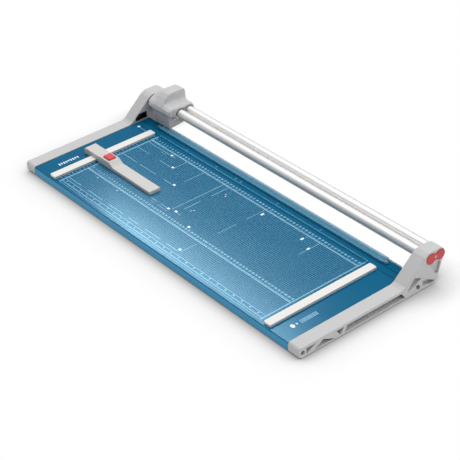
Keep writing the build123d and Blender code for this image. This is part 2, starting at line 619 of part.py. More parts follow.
def backstop_body():
    profile = rounded_polygon(STOP_PROFILE)
    stop = extrude(Plane.XZ.offset(-STOP_Y0) * profile, -(STOP_Y1 - STOP_Y0))
    # eased long upper edges
    stop = fillet(edges_at(edges_above(stop.edges(), 31), "Y", STOP_Y0, STOP_Y1), 1.2)
    # channel for the scale bar, with jaws that run in its side grooves
    half_channel = BAR_W / 2 + 0.3
    stop -= box(-BAR_X - half_channel, -BAR_X + half_channel,
                STOP_Y0 - 1, STOP_Y1 + 1, 23, BAR_TOP + 0.3)
    for side in SIDES:
        wall_x = -BAR_X + side * half_channel
        stop += box(wall_x + side * 0.2, wall_x - side * BAR_SLOT_D,
                    STOP_Y0 + 1, STOP_Y1 - 1, BAR_SLOT[0] + 0.2, BAR_SLOT[1] - 0.2)
    # cavity, lever slot and button opening
    stop -= box(CAVITY_X0, CAVITY_X1, CAVITY_Y0, CAVITY_Y1, 23, 37.0)
    stop -= box(-369.0, CAVITY_X0 + 1, LEVER_Y[0] - 0.5, LEVER_Y[1] + 0.5, BAR_TOP + 0.2, 34.5)
    stop -= box(BUTTON_X0 - 0.3, BUTTON_X1 + 0.3, BUTTON_Y0 - 0.3, BUTTON_Y1 + 0.3, 36, 45)
    # underside of the arm is relieved, leaving cross ribs
    stop -= box(-304, STOP_X1 - 3, STOP_Y0 + 2.5, STOP_Y1 - 2.5, 23, 29.5)
    for x in (-270, -235, -200):
        stop += box(x - 1, x + 1, STOP_Y0 + 2, STOP_Y1 - 2, 24.5, 30)
    # hole for the lever pin
    stop -= cyl_y(1.52, STOP_Y0 + 0.8, STOP_Y1 - 0.8, PIVOT_X, PIVOT_Z)
    # posts for the base plate screws
    for y in BASE_SCREW_Y:
        stop += box(CAVITY_X1 - 6, CAVITY_X1 + 1, y - 3.3, y + 3.3, 25.3, 32)
        stop -= cyl_z(1.25, 20, 31, BASE_SCREW_X, y)
    return stop


def base_plate():
    plate = box(-356.5, CAVITY_X1 - 0.2, CAVITY_Y0 + 0.2, CAVITY_Y1 - 0.2, 24.0, 25.2)
    for y in BASE_SCREW_Y:
        plate -= cyl_z(1.4, 20, 30, BASE_SCREW_X, y)
        plate -= cyl_z(2.5, 23, 24.7, BASE_SCREW_X, y)
    return plate


def base_screw(y):
    return cyl_z(2.4, 24.05, 24.7, BASE_SCREW_X, y) + cyl_z(1.2, 24.5, 30.5, BASE_SCREW_X, y)


def backstop_button():
    """Hollow rounded button with a flange at its foot and two inner posts."""
    button = box(BUTTON_X0, BUTTON_X1, BUTTON_Y0, BUTTON_Y1, BUTTON_BOTTOM, BUTTON_TOP)
    button = fillet(button.edges().filter_by(Axis.Z), 3.0)
    button = fillet(edges_at(button.edges(), "Z", BUTTON_TOP), 2.0)
    button += box(BUTTON_X0 - 1.5, BUTTON_X1 + 1.2, BUTTON_Y0 - 1.2, BUTTON_Y1 + 1.2,
                  BUTTON_BOTTOM, 36.8)
    button -= box(BUTTON_X0 + 2, BUTTON_X1 - 2, BUTTON_Y0 + 2, BUTTON_Y1 - 2, 33, 42.5)
    button += cyl_z(1.5, 32.4, 43.5, -334.0, STOP_MID)
    button += cyl_z(1.8, 31.0, 43.5, BUTTON_SPRING_X, STOP_MID)
    return button


def brake_lever():
    """Rocks on the pin; its left tip reaches down to just above the scale bar."""
    lever = box(LEVER_X0, -332.0, *LEVER_Y, 30.0, 32.0)
    lever += cyl_y(3.0, *LEVER_Y, PIVOT_X, PIVOT_Z)
    lever += box(LEVER_X0, LEVER_X0 + 3.5, *LEVER_Y, BAR_TOP + 0.06, 31.0)
    lever -= cyl_y(1.55, 120, 150, PIVOT_X, PIVOT_Z)
    return lever


def lever_spring():
    """Sleeve on the lever pin, behind the lever."""
    return cyl_y(2.6, 138.0, 142.0, PIVOT_X, PIVOT_Z) - cyl_y(1.7, 137.0, 143.0, PIVOT_X, PIVOT_Z)


save("backstop_body", backstop_body())
save("backstop_base_plate", base_plate())
save("backstop_base_screws", *[base_screw(y) for y in BASE_SCREW_Y])
save("lever_pin", cyl_y(1.5, STOP_Y0 + 1.0, STOP_Y1 - 1.0, PIVOT_X, PIVOT_Z))
save("backstop_button", backstop_button())
save("button_spring",
     coil(BUTTON_SPRING_X, STOP_MID, 25.25, 42.45, radius=3.0, wire=0.4, turns=5))
save("brake_lever", brake_lever())
save("lever_spring", lever_spring())
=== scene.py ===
"""Rotary paper trimmer: a printed table between two end frames, two guide tubes along x
behind it, a cutter head at the left end of the tubes, press strip, stop bars and backstop.

The CAD pieces come in metres with +Z up, x along the cut and y towards the rear. Sizes in
this script are in mm with y = 0 at the table's front edge; material and stage values are
in metres in the CAD frame.
"""
import bmesh
import bpy
import functools
import itertools
import math
import numpy as np
from mathutils import Matrix, Vector


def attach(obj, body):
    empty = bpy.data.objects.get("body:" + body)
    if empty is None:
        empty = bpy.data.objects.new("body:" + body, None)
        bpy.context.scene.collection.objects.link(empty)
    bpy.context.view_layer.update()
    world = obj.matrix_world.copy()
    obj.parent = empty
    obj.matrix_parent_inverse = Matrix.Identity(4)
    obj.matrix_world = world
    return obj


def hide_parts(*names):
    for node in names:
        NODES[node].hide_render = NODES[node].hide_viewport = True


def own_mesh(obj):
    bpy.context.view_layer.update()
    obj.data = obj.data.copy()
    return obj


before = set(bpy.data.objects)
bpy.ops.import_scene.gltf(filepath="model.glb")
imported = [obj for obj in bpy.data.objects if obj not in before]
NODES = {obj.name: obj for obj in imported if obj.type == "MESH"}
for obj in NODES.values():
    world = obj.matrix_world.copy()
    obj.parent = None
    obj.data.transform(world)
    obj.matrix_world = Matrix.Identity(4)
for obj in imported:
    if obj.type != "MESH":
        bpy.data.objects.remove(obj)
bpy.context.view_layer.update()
scene = bpy.context.scene

MM = 0.001
TABLE_FRONT_Y = -194.0           # table front edge in the CAD frame
TABLE_TOP = 23.5                 # z of the printed surface
ZERO_X = -360.0                  # zero of the length scales
CUT_Y = 329.8                    # cutting line, zero of the depth scales
PRINT_X0, PRINT_X1 = -347.0, 346.0   # left and right lines of the printed frame


def cad_y(y):
    """y in metres in the CAD frame, from mm behind the table's front edge."""
    return (y + TABLE_FRONT_Y) * MM


# ======================================================================
# node graphs
# ======================================================================
def srgb(*levels):
    """Linear colour from 0-255 sRGB levels."""
    def linear(level):
        c = level / 255.0
        return c / 12.92 if c <= 0.04045 else ((c + 0.055) / 1.055) ** 2.4
    return tuple(linear(level) for level in levels) + (1.0,)


def tone(color, factor, lift=0.0):
    """The colour made darker or lighter."""
    return tuple(min(1, c * factor + lift) for c in color[:3]) + (1,)


class Graph:
    """A node tree with short calls for the nodes used here."""

    def __init__(self, tree):
        self.tree = tree
        tree.nodes.clear()

    def link(self, source, target):
        self.tree.links.new(source, target)

    def node(self, kind, inputs=None, **settings):
        """New node; inputs maps socket names or indices to values or sockets."""
        node = self.tree.nodes.new(kind)
        for key, value in settings.items():
            setattr(node, key, value)
        for key, value in (inputs or {}).items():
            if isinstance(value, bpy.types.NodeSocket):
                self.link(value, node.inputs[key])
            else:
                node.inputs[key].default_value = value
        return node

    def math(self, operation, *values):
        return self.node("ShaderNodeMath", dict(enumerate(values)), operation=operation).outputs[0]

    def ramp(self, value, span=(0.3, 0.7), to=(0.0, 1.0), smooth=False):
        """Maps span onto to, clamped."""
        inputs = {"Value": value, "From Min": span[0], "From Max": span[1],
                  "To Min": to[0], "To Max": to[1]}
        kind = "SMOOTHSTEP" if smooth else "LINEAR"
        return self.node("ShaderNodeMapRange", inputs, interpolation_type=kind).outputs[0]

    def mix_shaders(self, factor, first, second):
        return self.node("ShaderNodeMixShader", {0: factor, 1: first, 2: second}).outputs[0]

    def camera_ray(self):
        return self.node("ShaderNodeLightPath").outputs["Is Camera Ray"]


class Material(Graph):
    """A principled material whose textures lie in object coordinates."""

    SOCKETS = {"color": "Base Color", "rough": "Roughness", "metal": "Metallic",
               "spec": "Specular IOR Level", "coat": "Coat Weight",
               "coat_rough": "Coat Roughness", "ior": "IOR",
               "glow_color": "Emission Color", "glow": "Emission Strength"}

    def __init__(self, name):
        self.material = bpy.data.materials.new(name)
        self.material.use_nodes = True
        super().__init__(self.material.node_tree)
        self.output = self.node("ShaderNodeOutputMaterial")
        self.principled = self.node("ShaderNodeBsdfPrincipled")
        self.finish_with(self.principled.outputs[0])
        self.coord = self.node("ShaderNodeTexCoord").outputs["Object"]

    def finish_with(self, shader):
        self.link(shader, self.output.inputs[0])

    def set(self, **values):
        for key, value in values.items():
            socket = self.principled.inputs[self.SOCKETS[key]]
            if isinstance(value, bpy.types.NodeSocket):
                self.link(value, socket)
            else:
                socket.default_value = value

    def stretched(self, factors):
        """Object coordinates multiplied per axis."""
        return self.node("ShaderNodeVectorMath", {0: self.coord, 1: factors},
                         operation="MULTIPLY").outputs[0]

    def noise(self, scale, detail=4.0, rough=0.55, vec=None):
        return self.node("ShaderNodeTexNoise", {
            "Vector": vec or self.coord, "Scale": scale, "Detail": detail,
            "Roughness": rough}).outputs["Fac"]

    def mix(self, factor, first, second):
        return self.node("ShaderNodeMix", {"Factor": factor, 6: first, 7: second},
                         data_type="RGBA").outputs[2]

    def position(self, axis):
        return self.node("ShaderNodeSeparateXYZ", {0: self.coord}).outputs[axis]

    def normal(self, axis):
        vector = self.node("ShaderNodeNewGeometry").outputs["Normal"]
        return self.node("ShaderNodeSeparateXYZ", {0: vector}).outputs[axis]

    def occlusion(self, reach, samples=6):
        return self.node("ShaderNodeAmbientOcclusion", {"Distance": reach},
                         samples=samples).outputs["AO"]

    def grime(self, color, reach, least, clear):
        """Painted shade: colour darkened in crevices and next to other parts, down to least of it;
        untouched above clear.
        """
        light = self.ramp(self.occlusion(reach), span=(0.08, clear), to=(least, 1.0), smooth=True)
        return self.mix(light, (0.004, 0.004, 0.005, 1), color)

    def drift(self, base, amount, scale, detail=4.0):
        """Base colour with a gentle light and dark drift."""
        noise = self.noise(scale=scale, detail=detail)
        return self.mix(noise, tone(base, 1 - amount), tone(base, 1 + amount))

    def bump(self, height, distance, strength):
        bump = self.node("ShaderNodeBump", {"Strength": strength, "Distance": distance,
                                            "Height": height})
        self.link(bump.outputs[0], self.principled.inputs["Normal"])


# ======================================================================
# materials
# ======================================================================
def table_paint():
    m = Material("table_paint")
    color = m.drift(srgb(2, 94, 132), amount=0.05, scale=9.0, detail=3.0)
    # painted light: the upright faces are made lighter, as if more light falls on them
    upright_painted_light = m.ramp(m.math("ABSOLUTE", m.normal(2)), span=(0.15, 0.35), to=(1.0, 0.0))
    color = m.mix(upright_painted_light, color, srgb(54, 152, 198))
    # fine speckle of the powder coat
    speckle = m.ramp(m.noise(scale=2600.0, detail=2.0), span=(0.35, 0.75), to=(0.0, 0.05))
    color = m.mix(speckle, color, srgb(50, 130, 175))

    # 5 mm grid, only on the top and only inside the printed frame
    x, y, z = (m.position(axis) for axis in range(3))

    def grid_line(along, origin, width, pitch=0.005, soft=0.00005):
        distance = m.math("PINGPONG", m.math("SUBTRACT", along, origin), pitch / 2)
        return m.ramp(distance, span=(width / 2 - soft, width / 2 + soft), to=(1.0, 0.0))

    def between(along, low, high):
        return m.math("MULTIPLY", m.math("GREATER_THAN", along, low),
                      m.math("LESS_THAN", along, high))

    grid = m.math("MAXIMUM", grid_line(x, origin=ZERO_X * MM, width=0.00030),
                  grid_line(y, origin=cad_y(CUT_Y), width=0.00034))
    in_x = between(x, low=(PRINT_X0 + 0.5) * MM, high=(PRINT_X1 - 0.5) * MM)
    in_y = between(y, low=cad_y(24.2), high=cad_y(264.4))
    faces_up = m.math("GREATER_THAN", m.normal(2), 0.9)
    at_top = m.math("GREATER_THAN", z, (TABLE_TOP - 0.3) * MM)
    mask = m.math("MULTIPLY", m.math("MULTIPLY", in_x, in_y),
                  m.math("MULTIPLY", faces_up, at_top))
    grid = m.math("MULTIPLY", grid, mask)
    field_strength, line_strength = 0.24, 0.74
    color = m.mix(m.math("MULTIPLY", mask, field_strength), color, srgb(0, 60, 96))
    color = m.mix(m.math("MULTIPLY", grid, line_strength), color, srgb(146, 210, 238))

    # faint rubbing, drawn out along x
    rub = m.noise(scale=30.0, detail=6.0, rough=0.65, vec=m.stretched((0.25, 1.0, 1.0)))
    # painted shade: the paint darkens near the bars, the stop and under the cutter head
    m.set(color=m.grime(color, reach=0.030, least=0.30, clear=0.62),
          rough=m.ramp(rub, span=(0.3, 0.75), to=(0.21, 0.27)),
          ior=m.ramp(upright_painted_light, span=(0.0, 1.0), to=(1.10, 1.25)))
    m.bump(m.noise(scale=900.0, detail=3.0, rough=0.5), distance=0.00004, strength=0.3)
    return m.material


def frame_grey():
    m = Material("frame_grey")
    base = srgb(199, 199, 200)
    color = m.drift(base, amount=0.035, scale=14.0, detail=3.0)
    speckle = m.noise(scale=1500.0, detail=2.0, rough=0.6)
    color = m.mix(m.ramp(speckle, span=(0.3, 0.8), to=(0.0, 0.16)), color, tone(base, 0.72))
    # deep shade on the left frame, beside the cutter head; light on the right
    left = m.math("LESS_THAN", m.position(0), 0.0)
    color = m.mix(left, m.grime(color, reach=0.010, least=0.80, clear=0.7),
                  m.grime(color, reach=0.035, least=0.16, clear=0.80))
    # painted shade: near black inside the pocket in each wall, where the deep recess lies in shade,
    # except on faces turned to the front and up
    x, y, z = (m.position(axis) for axis in range(3))
    out_x = m.math("ABSOLUTE", x)
    outside = None
    for along, low, high in ((out_x, 0.4356, 0.4545), (y, cad_y(286.5), cad_y(319.8)),
                             (z, 0.0275, 0.0441)):
        for test in (m.math("LESS_THAN", along, low), m.math("GREATER_THAN", along, high)):
            outside = m.math("MAXIMUM", outside, test) if outside else test
    front_up = m.math("MULTIPLY", m.math("LESS_THAN", m.normal(1), -0.2),
                      m.math("GREATER_THAN", m.normal(2), 0.2))
    outside = m.math("MAXIMUM", outside, front_up)
    m.set(color=m.mix(outside, (0.012, 0.012, 0.013, 1), color),
          rough=m.ramp(m.noise(scale=45.0, detail=5.0, rough=0.6), to=(0.46, 0.60)), spec=0.42)
    m.bump(m.noise(scale=1200.0, detail=3.0, rough=0.6), distance=0.00006, strength=0.45)
    return m.material


def tube(name, underside):
    """Satin tube steel, streaked along x, with a painted tint on the side facing down that offsets
    the reflection of the blue table.
    """
    m = Material(name)
    streak = m.noise(scale=2600.0, detail=3.0, rough=0.6, vec=m.stretched((0.02, 1.0, 1.0)))
    cloud = m.noise(scale=5.0, detail=4.0, rough=0.6)
    color = m.mix(m.ramp(streak), (0.84, 0.84, 0.845, 1), (0.93, 0.93, 0.93, 1))
    # painted reflection: the faces turned down take the tint
    low = m.ramp(m.normal(2), span=(-0.25, 0.55), to=(1.0, 0.0), smooth=True)
    rough = m.math("ADD", m.ramp(streak, to=(0.34, 0.42)), m.ramp(cloud, to=(0.0, 0.05)))
    m.set(color=m.mix(low, color, underside), rough=rough, metal=0.82)
    m.bump(streak, distance=0.00001, strength=0.2)
    return m.material


def steel(name, base, rough, scale, stretch=(1, 1, 1), bump=0.00002):
    m = Material(name)
    grain = m.noise(scale=scale, detail=4.0, rough=0.65, vec=m.stretched(stretch))
    m.set(color=m.mix(m.ramp(grain), tone(base, 0.86), tone(base, 1.08)),
          rough=m.ramp(grain, span=(0.25, 0.75), to=rough), metal=1.0)
    m.bump(grain, distance=bump, strength=0.35)
    return m.material


def cutter_steel():
    """Ground steel disc with rings turned about its axle."""
    m = Material("cutter_steel")
    axle_x, axle_z = -0.378, 0.044
    ring_rate = 24000.0              # radians per metre of radius
    x = m.math("SUBTRACT", m.position(0), axle_x)
    z = m.math("SUBTRACT", m.position(2), axle_z)
    squares = m.math("ADD", m.math("MULTIPLY", x, x), m.math("MULTIPLY", z, z))
    ring = m.math("SINE", m.math("MULTIPLY", m.math("SQRT", squares), ring_rate))
    grain = m.noise(scale=1.0, detail=2.0, vec=m.stretched((900.0, 900.0, 900.0)))
    grain_share = 0.4
    shade = m.math("ADD", m.ramp(ring, span=(-1, 1), to=(0, 0.6)),
                   m.math("MULTIPLY", grain, grain_share))
    m.set(color=m.mix(shade, (0.50, 0.50, 0.52, 1), (0.72, 0.72, 0.73, 1)),
          rough=m.ramp(shade, span=(0, 1), to=(0.16, 0.32)), metal=1.0)
    m.bump(ring, distance=0.00001, strength=0.2)
    return m.material


def plastic(name, base, rough, grain, bump, drift, coat=0.0, worn=False):
    """Moulded plastic; with the flag set its edges get a painted highlight."""
    m = Material(name)
    color = m.drift(base, amount=drift, scale=22.0, detail=3.0)
    speckle = m.noise(scale=grain * 0.7, detail=2.0, rough=0.6)
    color = m.mix(m.ramp(speckle, span=(0.3, 0.8), to=(0.0, 0.10)), color, tone(base, 0.80))
    if worn:
        # painted highlight: lighter colour on the sharp convex edges
        pointiness = m.node("ShaderNodeNewGeometry").outputs["Pointiness"]
        edge = m.ramp(pointiness, span=(0.52, 0.60), to=(0.0, 0.6))
        color = m.mix(edge, color, tone(base, 1.15, lift=0.02))
    # painted shade darkens the colour in crevices and next to other parts
    m.set(color=m.grime(color, reach=0.012, least=0.35, clear=0.7),
          rough=m.ramp(m.noise(scale=70.0, detail=4.0, rough=0.6), to=rough),
          spec=0.45, coat=coat, coat_rough=0.15)
    m.bump(m.noise(scale=grain, detail=2.0, rough=0.5), distance=bump, strength=0.4)
    return m.material


def rubber(name):
    m = Material(name)
    m.set(color=m.drift((0.028, 0.028, 0.029, 1), amount=0.25, scale=60.0),
          rough=m.ramp(m.noise(scale=300.0), to=(0.62, 0.82)), spec=0.3)
    m.bump(m.noise(scale=1800.0), distance=0.0001, strength=0.5)
    return m.material


def strip_clear():
    """Clear, slightly milky plastic: mostly see-through, denser on its upright faces."""
    m = Material("strip_clear")
    color = m.mix(m.noise(scale=25.0, detail=3.0), srgb(116, 200, 240), srgb(142, 214, 248))
    # painted shade darkens the strip close to other parts
    m.set(color=m.grime(color, reach=0.010, least=0.80, clear=0.5),
          rough=m.ramp(m.noise(scale=40.0), to=(0.12, 0.24)), spec=0.35)
    scratches = m.noise(scale=700.0, detail=4.0, rough=0.7, vec=m.stretched((0.03, 1.0, 1.0)))
    m.bump(scratches, distance=0.00001, strength=0.2)
    clear = m.node("ShaderNodeBsdfTransparent", {0: (0.95, 0.98, 1.0, 1)}).outputs[0]
    side = m.ramp(m.math("ABSOLUTE", m.normal(2)), span=(0.5, 0.95), to=(0.62, 0.30))
    cloud = m.ramp(m.noise(scale=6.0, detail=3.0), to=(0.0, 0.04))
    m.finish_with(m.mix_shaders(m.math("ADD", side, cloud), clear, m.principled.outputs[0]))
    return m.material


def ink(name, base, drift):
    """Screen-printed ink that lets a little of the paint through."""
    m = Material(name)
    color = m.drift(base, amount=drift, scale=120.0)
    thin = m.ramp(m.noise(scale=3000.0, detail=3.0), span=(0.45, 0.85), to=(0.0, 0.18))
    m.set(color=m.mix(thin, color, srgb(90, 150, 185)),
          rough=m.ramp(m.noise(scale=200.0, detail=3.0), to=(0.40, 0.52)), ior=1.15)
    return m.material


MATERIALS = {
    "table": table_paint(),
    "frame": frame_grey(),
    # the tubes' underside tints are painted against the table's blue reflection
    "tube": tube("tube_steel", underside=(0.88, 0.74, 0.63, 1)),
    "tube_rear": tube("tube_steel_rear", underside=(0.84, 0.83, 0.82, 1)),
    "head": plastic("head_grey", srgb(200, 200, 201), rough=(0.38, 0.52), grain=1900.0,
                    bump=0.00005, drift=0.03, worn=True),
    "guard": plastic("guard_grey", srgb(192, 187, 187), rough=(0.36, 0.50), grain=1900.0,
                     bump=0.00005, drift=0.04),
    "red": plastic("cap_red", srgb(198, 33, 32), rough=(0.25, 0.36), grain=1500.0,
                   bump=0.00003, drift=0.04, coat=0.3),
    "red_button": plastic("button_red", srgb(216, 40, 48), rough=(0.22, 0.34), grain=1500.0,
                          bump=0.00003, drift=0.05, coat=0.4),
    "bar": plastic("bar_white", srgb(232, 231, 227), rough=(0.34, 0.48), grain=1700.0,
                   bump=0.00004, drift=0.015),
    "stop": plastic("stop_grey", srgb(208, 206, 203), rough=(0.38, 0.52), grain=1900.0,
                    bump=0.00005, drift=0.02),
    "black": plastic("hub_black", (0.012, 0.012, 0.014, 1), rough=(0.35, 0.5), grain=1500.0,
                     bump=0.00004, drift=0.2),
    "nylon": plastic("bush_nylon", srgb(226, 222, 208), rough=(0.35, 0.5), grain=1500.0,
                     bump=0.00004, drift=0.03),
    "alu": steel("carriage_aluminium", (0.62, 0.62, 0.63), rough=(0.38, 0.55), scale=900.0,
                 bump=0.00006),
    "blade": steel("blade_steel", (0.60, 0.60, 0.62), rough=(0.2, 0.34), scale=2400.0,
                   stretch=(0.03, 1, 1)),
    "disc": cutter_steel(),
    "screw": steel("screw_steel", (0.58, 0.58, 0.59), rough=(0.24, 0.4), scale=1500.0),
    "spring": steel("spring_steel", (0.45, 0.45, 0.47), rough=(0.28, 0.42), scale=2500.0),
    "clip": steel("clip_steel", (0.20, 0.21, 0.23), rough=(0.35, 0.5), scale=1300.0),
    "rubber": rubber("foot_rubber"),
    "roller": rubber("roller_rubber"),
    "strip": strip_clear(),
    "ink": ink("print_light", srgb(170, 220, 242), drift=0.10),
    "ink_white": ink("print_white", srgb(226, 240, 246), drift=0.04),
}
# material: the CAD pieces made of it
PIECES = {
    "table": "table_board",
    "frame": "left_end_frame right_end_frame",
    "tube": "front_guide_tube",
    "tube_rear": "rear_guide_tube",
    "head": "head_cover",
    "guard": "head_front_guard",
    "red": "left_end_cap right_end_cap",
    "red_button": "backstop_button",
    "bar": "left_scale_bar right_scale_bar",
    "stop": "backstop_body",
    "black": "blade_hub brake_lever",
    "nylon": "front_tube_bushes rear_tube_bushes",
    "alu": "head_carriage",
    "blade": "lower_blade",
    "disc": "cutter_blade",
    "screw": "end_cap_screws frame_screws lower_blade_screws scale_bar_screws "
             "clamp_guide_screws blade_axle blade_spring roller_axles head_screws "
             "guard_screws backstop_base_screws lever_pin lever_spring",
    "spring": "clamp_springs button_spring",
    "clip": "backstop_base_plate",
    "rubber": "rubber_feet",
    "roller": "left_press_roller right_press_roller",
    "strip": "clamp_strip clamp_end_clips",
}
PIECES["screw"] = PIECES["screw"].replace(" blade_spring", "").replace(" lever_spring", "")
PIECES["spring"] += " blade_spring lever_spring"
# these two coils are listed with the screws too, but the update below gives them the spring steel
PIECES["screw"] += " blade_spring lever_spring"
PIECES["spring"] = "clamp_springs button_spring"
piece_material = {piece: key for key, pieces in PIECES.items() for piece in pieces.split()}
SPRING_PIECES = ("clamp_springs", "blade_spring", "lever_spring", "button_spring")
piece_material.update(dict.fromkeys(SPRING_PIECES, "spring"))
for piece_name, piece in NODES.items():
    piece.data.materials.clear()
    piece.data.materials.append(MATERIALS[piece_material[piece_name]])


# ======================================================================
# meshes
# ======================================================================
def new_mesh(name, verts, faces, material, body, smooth=False):
    """Object from vertices in mm with y = 0 at the table's front edge."""
    places = np.asarray(verts, dtype=float).copy()
    places[:, 1] += TABLE_FRONT_Y
    places *= MM
    mesh = bpy.data.meshes.new(name)
    mesh.from_pydata(places.tolist(), [], faces)
    mesh.validate()
    mesh.update()
    if smooth:
        mesh.polygons.foreach_set("use_smooth", [True] * len(mesh.polygons))
    mesh.materials.append(MATERIALS[material])
    obj = bpy.data.objects.new(name, mesh)
    scene.collection.objects.link(obj)
    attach(obj, body)
    return obj


@functools.cache
def glyph(character):
    """Vertices, faces and width of a character at font size 1, from the built-in font."""
    curve = bpy.data.curves.new("glyph", "FONT")
    curve.body = character
    curve.size = 1.0
    curve.extrude = 0.01
    curve.offset = 0.018
    curve.resolution_u = 3
    obj = bpy.data.objects.new("glyph", curve)
    scene.collection.objects.link(obj)
    depsgraph = bpy.context.evaluated_depsgraph_get()
    depsgraph.update()
    mesh = bpy.data.meshes.new_from_object(obj.evaluated_get(depsgraph))
    welded = bmesh.new()
    welded.from_mesh(mesh)
    bmesh.ops.remove_doubles(welded, verts=welded.verts, dist=1e-5)
    welded.to_mesh(mesh)
    welded.free()
    verts = [tuple(vertex.co) for vertex in mesh.vertices]
    faces = [list(polygon.vertices) for polygon in mesh.polygons]
    left = min(x for x, y, z in verts)
    width = max(x for x, y, z in verts) - left
    bpy.data.objects.remove(obj)
    bpy.data.curves.remove(curve)
    bpy.data.meshes.remove(mesh)
    return [(x - left, y, z) for x, y, z in verts], faces, width


class Print:
    """Collects flat prisms of ink into one object; heights are above the table top."""

    def __init__(self, bottom, top):
        self.verts, self.faces = [], []
        self.z0, self.z1 = TABLE_TOP + bottom, TABLE_TOP + top

    def prism(self, outline):
        count, first = len(outline), len(self.verts)
        self.verts += [(x, y, z) for z in (self.z0, self.z1) for x, y in outline]
        self.faces.append([first + i for i in reversed(range(count))])
        self.faces.append([first + count + i for i in range(count)])
        for i in range(count):
            j = (i + 1) % count
            self.faces.append([first + i, first + j, first + count + j, first + count + i])

    def rect(self, x0, x1, y0, y1):
        self.prism([(x0, y0), (x1, y0), (x1, y1), (x0, y1)])

    def hline(self, x0, x1, y, width):
        self.rect(x0, x1, y - width / 2, y + width / 2)

    def vline(self, x, y0, y1, width):
        self.rect(x - width / 2, x + width / 2, y0, y1)

    def ellipse(self, x, y, radius_x, radius_y, count):
        angles = [2 * math.pi * k / count for k in range(count)]
        self.prism([(x + radius_x * math.cos(a), y + radius_y * math.sin(a)) for a in angles])

    def patch(self, x, y, width, depth, radius=1.0):
        """Rectangle with rounded corners, centred on x, y."""
        outline = []
        for side_x, side_y, start in ((1, 1, 0), (-1, 1, 90), (-1, -1, 180), (1, -1, 270)):
            corner_x = x + side_x * (width / 2 - radius)
            corner_y = y + side_y * (depth / 2 - radius)
            for k in range(5):
                a = math.radians(start + 22.5 * k)
                outline.append((corner_x + radius * math.cos(a), corner_y + radius * math.sin(a)))
        self.prism(outline)

    def write(self, text, x, y, cap_height):
        """Text centred on x, y."""
        scale = cap_height / 0.70        # capitals are 0.70 of the font size
        gap = 0.07
        widths = [glyph(character)[2] for character in text]
        left = x - (sum(widths) + gap * (len(text) - 1)) * scale / 2
        for character, width in zip(text, widths):
            verts, faces, _ = glyph(character)
            first = len(self.verts)
            self.verts += [(left + scale * gx, y - cap_height / 2 + scale * gy,
                            self.z0 if gz < 0 else self.z1) for gx, gy, gz in verts]
            self.faces += [[first + i for i in face] for face in faces]
            left += (width + gap) * scale

    def build(self, name, material):
        return new_mesh(name, self.verts, self.faces, material, "base")


# ======================================================================
# printed scales on the table
# ======================================================================
# lines along x: y, width
LONG_LINES = [(264.9, 0.62), (85.5, 0.62), (13.7, 0.75), (23.9, 0.6), (8.4, 0.5), (293.6, 0.40)]
# dashed lines along y: x, width, spans in y
DASHED_Y = [
    (-255.0, 0.5, [(261, 264), (296, 303)]),
    (-212.0, 0.75, [(230, 264)]),
    (-150.0, 0.75, [(207, 264), (296, 303)]),
    (-80.6, 0.75, [(122, 264), (296, 303)]),
    (-63.0, 0.75, [(216, 264), (141, 185), (296, 303)]),
    (60.0, 0.75, [(212, 262), (134, 182), (36, 76), (296, 303)]),
    (198.8, 0.5, [(256, 264), (296, 303)]),
    (234.0, 0.75, [(241, 264), (207, 230)]),
]
# dashed lines along x: y, width, spans in x
DASHED_X = [
    (255.8, 0.75, [(PRINT_X0, -264), (-251, -245)]),
    (249.4, 0.5, [(-290, -272)]),
    (224.4, 0.75, [(PRINT_X0, -300), (-262, -221)]),
    (181.8, 0.75, [(PRINT_X0, -290), (-280, -220), (-190, -160)]),
    (119.8, 0.75, [(-64, -48)]),
    (117.0, 0.75, [(-150, -128), (-116, -93)]),
    (109.2, 0.6, [(-140, -126), (-118, -84)]),
    (33.0, 0.75, [(PRINT_X0, -298), (-270, -216), (-192, -140), (-120, -84), (-60, -6),
                  (14, 52)]),
]
# label patches at the sheet formats' corners: x, y, width, depth
PATCHES = [
    (-259, 257.4, 7, 5.6), (-216, 227.2, 7, 5.6), (-155.4, 184.4, 7, 5.6),
    (-88.3, 117.4, 7, 5.2), (-67.6, 122.2, 7, 5.6), (-1.1, 105.2, 7, 6),
    (69.2, 249.2, 5.2, 9), (196.6, 249.0, 5.2, 9), (232.2, 234.6, 5.2, 8), (52, 40, 7, 5.6),
]
# small patches: x, y
DOTS = [(-47.2, 146.5), (-43.6, 152.2), (-45.8, 242.6), (-40.5, 237.0), (66.5, 96),
        (-300, 79), (-225, 79)]
DOT_SIZE = 2.6
TICK_GAP = 0.2                   # between a scale's line and its ticks


def ruler(ticks, y, step, unit, half, tick_lengths, tick_widths, number_y, number_shift, height):
    """Length scale behind y; unit and half are counts of steps between the longer ticks."""
    long, middle, short = tick_lengths
    for i in range(int((PRINT_X1 - ZERO_X) / step) + 1):
        x = ZERO_X + i * step
        if x < PRINT_X0 + 0.3 or x > PRINT_X1 - 0.3:
            continue
        length = long if i % unit == 0 else (middle if i % half == 0 else short)
        width = tick_widths[0] if i % unit == 0 else tick_widths[1]
        ticks.vline(x, y + TICK_GAP, y + length, width)
        if i % unit == 0 and i > 0 and x < PRINT_X1 - 5:
            ticks.write(str(i // unit), x + number_shift, y + number_y, height)


def depth_scale(ticks, x, outward):
    """Millimetre scale along y, outside the frame line at x; outward is -1 or 1."""
    def mark(start, end, y, width):
        x0, x1 = sorted((x + outward * start, x + outward * end))
        ticks.hline(x0, x1, y, width)

    for i in range(325):
        y = CUT_Y - i
        if y > 286 or y < 8:
            continue
        length = 5.2 if i % 10 == 0 else (3.8 if i % 5 == 0 else 2.4)
        mark(TICK_GAP, TICK_GAP + length, y, width=0.3)
        if i % 10 == 0 and 12 < y < 284:
            ticks.write(str(i // 10), x + outward * 9.0, y, cap_height=2.4)
            mark(-0.5, -4.5, y, width=0.4)


